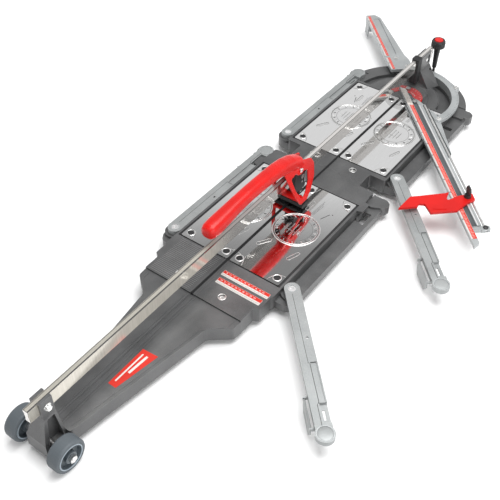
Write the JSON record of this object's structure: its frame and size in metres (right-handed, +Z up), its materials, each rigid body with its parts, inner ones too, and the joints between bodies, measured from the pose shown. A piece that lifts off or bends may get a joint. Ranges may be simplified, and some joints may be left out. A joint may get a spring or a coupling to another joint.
{
  "type": "tile cutter",
  "caption": "Long manual tile cutter: carriage with red handle on a guide rail, polished plates, swing-out arms, angled fence with side stop, transport wheels.",
  "frame": {"origin": "centre of the underside of the middle rubber foot strip, on the floor under the cut line", "axes": "+X to the right across the machine, +Y along the guide rail from the wheels to the turntable, +Z up"},
  "size_m": [0.76, 1.7702, 0.2139],
  "materials": {
    "casting": "cast, metallic dark grey paint",
    "light_casting": "cast, fine matt light grey",
    "plate_aluminium": "polished flat",
    "rail_steel": "ground and polished bar",
    "bolt_steel": "zinc plated",
    "spring_steel": "oiled spring wire",
    "foot_rubber": "ribbed black rubber",
    "buffer_rubber": "matt black rubber",
    "tyre_rubber": "soft blue-grey rubber",
    "wheel_plastic": "moulded grey plastic",
    "black_plastic": "moulded black plastic",
    "red_plastic": "satin moulded red plastic",
    "red_painted": "powder-coated red",
    "clear_plastic": "smoky clear plastic"
  },
  "bodies": {
    "base": {"tail_casting": "casting", "front_table_casting": "casting", "rear_table_casting": "casting", "foot_front": "foot_rubber", "foot_middle": "foot_rubber", "foot_rear": "foot_rubber", "front_joint_bolt_left": "bolt_steel", "front_joint_bolt_right": "bolt_steel", "neck_joint_bolt_left": "bolt_steel", "neck_joint_bolt_right": "bolt_steel", "rail_bracket": "casting", "rail_bracket_bolt": "bolt_steel", "wheel_axle": "bolt_steel", "guide_rail": "rail_steel", "rear_post": "casting", "rail_buffer": "buffer_rubber", "breaking_rib": "black_plastic", "protractor_scale": "red_plastic", "arm_screw_front_left": "bolt_steel", "plate_spring_front_left": "spring_steel", "arm_screw_front_right": "bolt_steel", "plate_spring_front_right": "spring_steel", "arm_screw_rear_left": "bolt_steel", "plate_spring_rear_left": "spring_steel", "arm_screw_rear_right": "bolt_steel", "plate_spring_rear_right": "spring_steel"},
    "wheel_left": {"wheel_tyre_left": "tyre_rubber", "wheel_hub_left": "wheel_plastic"},
    "wheel_right": {"wheel_tyre_right": "tyre_rubber", "wheel_hub_right": "wheel_plastic"},
    "plate_front_left": {"plate_front_left": "plate_aluminium"},
    "plate_front_right": {"plate_front_right": "plate_aluminium"},
    "plate_rear_left": {"plate_rear_left": "plate_aluminium"},
    "plate_rear_right": {"plate_rear_right": "plate_aluminium"},
    "arm_front_left": {"arm_front_left": "light_casting"},
    "leg_front_left": {"arm_leg_front_left": "light_casting"},
    "arm_front_right": {"arm_front_right": "light_casting"},
    "leg_front_right": {"arm_leg_front_right": "light_casting"},
    "arm_rear_left": {"arm_rear_left": "light_casting"},
    "leg_rear_left": {"arm_leg_rear_left": "light_casting"},
    "arm_rear_right": {"arm_rear_right": "light_casting"},
    "leg_rear_right": {"arm_leg_rear_right": "light_casting"},
    "fence": {"fence_casting": "light_casting", "fence_bar_right": "light_casting", "fence_bar_left": "light_casting", "fence_rod": "bolt_steel", "fence_rod_holder": "light_casting", "protractor_window": "clear_plastic"},
    "side_stop": {"side_stop": "red_painted"},
    "stop_knob": {"stop_knob": "black_plastic"},
    "lock_lever": {"lock_lever": "black_plastic", "lock_lever_cap": "red_plastic"},
    "carriage": {"carriage_body": "black_plastic"},
    "guide_roller_upper": {"guide_roller_upper": "bolt_steel"},
    "guide_roller_lower": {"guide_roller_lower": "bolt_steel"},
    "scoring_wheel": {"scoring_wheel": "bolt_steel"},
    "handle": {"handle": "red_plastic", "handle_pin": "bolt_steel"},
    "breaker_foot": {"breaker_foot": "black_plastic"}
  },
  "joints": [
    {"name": "wheel_left_spin", "type": "hinge", "parent": "base", "child": "wheel_left", "pos_m": [-0.057, -0.967, 0.0365], "axis": [1, 0, 0], "continuous": true},
    {"name": "wheel_right_spin", "type": "hinge", "parent": "base", "child": "wheel_right", "pos_m": [0.057, -0.967, 0.0365], "axis": [1, 0, 0], "continuous": true},
    {"name": "plate_front_left_sink", "type": "slide", "parent": "base", "child": "plate_front_left", "axis": [0, 0, -1], "range_m": [0, 0.003], "stiffness_N_per_m": 4000, "springref_m": -0.005, "deforming": ["plate_spring_front_left"]},
    {"name": "plate_front_right_sink", "type": "slide", "parent": "base", "child": "plate_front_right", "axis": [0, 0, -1], "range_m": [0, 0.003], "stiffness_N_per_m": 4000, "springref_m": -0.005, "deforming": ["plate_spring_front_right"]},
    {"name": "plate_rear_left_sink", "type": "slide", "parent": "base", "child": "plate_rear_left", "axis": [0, 0, -1], "range_m": [0, 0.003], "stiffness_N_per_m": 4000, "springref_m": -0.005, "deforming": ["plate_spring_rear_left"]},
    {"name": "plate_rear_right_sink", "type": "slide", "parent": "base", "child": "plate_rear_right", "axis": [0, 0, -1], "range_m": [0, 0.003], "stiffness_N_per_m": 4000, "springref_m": -0.005, "deforming": ["plate_spring_rear_right"]},
    {"name": "arm_front_left_swing", "type": "hinge", "parent": "base", "child": "arm_front_left", "pos_m": [-0.1676, -0.3908, 0.049], "axis": [0, 0, 1], "range_deg": [0, 136]},
    {"name": "leg_front_left_fold", "type": "hinge", "parent": "arm_front_left", "child": "leg_front_left", "pos_m": [-0.1911, -0.3908, 0.0412], "axis": [0, 1, 0], "range_deg": [0, 90]},
    {"name": "arm_front_right_swing", "type": "hinge", "parent": "base", "child": "arm_front_right", "pos_m": [0.1676, -0.3908, 0.049], "axis": [0, 0, 1], "range_deg": [0, 74]},
    {"name": "leg_front_right_fold", "type": "hinge", "parent": "arm_front_right", "child": "leg_front_right", "pos_m": [0.1507, -0.40712, 0.0412], "axis": [0.6947, -0.7193, 0], "range_deg": [0, 90]},
    {"name": "arm_rear_left_swing", "type": "hinge", "parent": "base", "child": "arm_rear_left", "pos_m": [-0.1676, 0.0815, 0.049], "axis": [0, 0, 1], "range_deg": [0, 136]},
    {"name": "leg_rear_left_fold", "type": "hinge", "parent": "arm_rear_left", "child": "leg_rear_left", "pos_m": [-0.1911, 0.0815, 0.0412], "axis": [0, 1, 0], "range_deg": [0, 90]},
    {"name": "arm_rear_right_swing", "type": "hinge", "parent": "base", "child": "arm_rear_right", "pos_m": [0.1676, 0.0815, 0.049], "axis": [0, 0, 1], "range_deg": [0, 136]},
    {"name": "leg_rear_right_fold", "type": "hinge", "parent": "arm_rear_right", "child": "leg_rear_right", "pos_m": [0.1507, 0.06518, 0.0412], "axis": [0.6947, -0.7193, 0], "range_deg": [0, 90]},
    {"name": "fence_turn", "type": "hinge", "parent": "base", "child": "fence", "pos_m": [0, 0.413, 0.06], "axis": [0, 0, 1], "range_deg": [0, 61]},
    {"name": "side_stop_slide", "type": "slide", "parent": "fence", "child": "side_stop", "axis": [0.6896, -0.7242, 0], "range_m": [-0.2, 0.035]},
    {"name": "stop_knob_turn", "type": "hinge", "parent": "side_stop", "child": "stop_knob", "pos_m": [0.34812, 0.09964, 0.08], "axis": [0, 0, 1], "range_deg": [0, 180]},
    {"name": "lock_lever_turn", "type": "hinge", "parent": "base", "child": "lock_lever", "pos_m": [0.009, 0.5884, 0.05], "axis": [0, 0, 1], "range_deg": [0, 180]},
    {"name": "carriage_slide", "type": "slide", "parent": "base", "child": "carriage", "axis": [0, 1, 0], "range_m": [-0.7, 0.44]},
    {"name": "guide_roller_upper_spin", "type": "hinge", "parent": "carriage", "child": "guide_roller_upper", "pos_m": [0, -0.124, 0.1538], "axis": [1, 0, 0], "continuous": true},
    {"name": "guide_roller_lower_spin", "type": "hinge", "parent": "carriage", "child": "guide_roller_lower", "pos_m": [0, -0.124, 0.1047], "axis": [1, 0, 0], "continuous": true},
    {"name": "scoring_wheel_spin", "type": "hinge", "parent": "carriage", "child": "scoring_wheel", "pos_m": [0, -0.118, 0.066], "axis": [1, 0, 0], "continuous": true},
    {"name": "handle_tip", "type": "hinge", "parent": "carriage", "child": "handle", "pos_m": [0, -0.144, 0.156], "axis": [1, 0, 0], "range_deg": [-20, 2.5]},
    {"name": "breaker_foot_rock", "type": "hinge", "parent": "handle", "child": "breaker_foot", "pos_m": [0, -0.15, 0.073], "axis": [0, 1, 0], "range_deg": [-2, 2]}
  ]
}
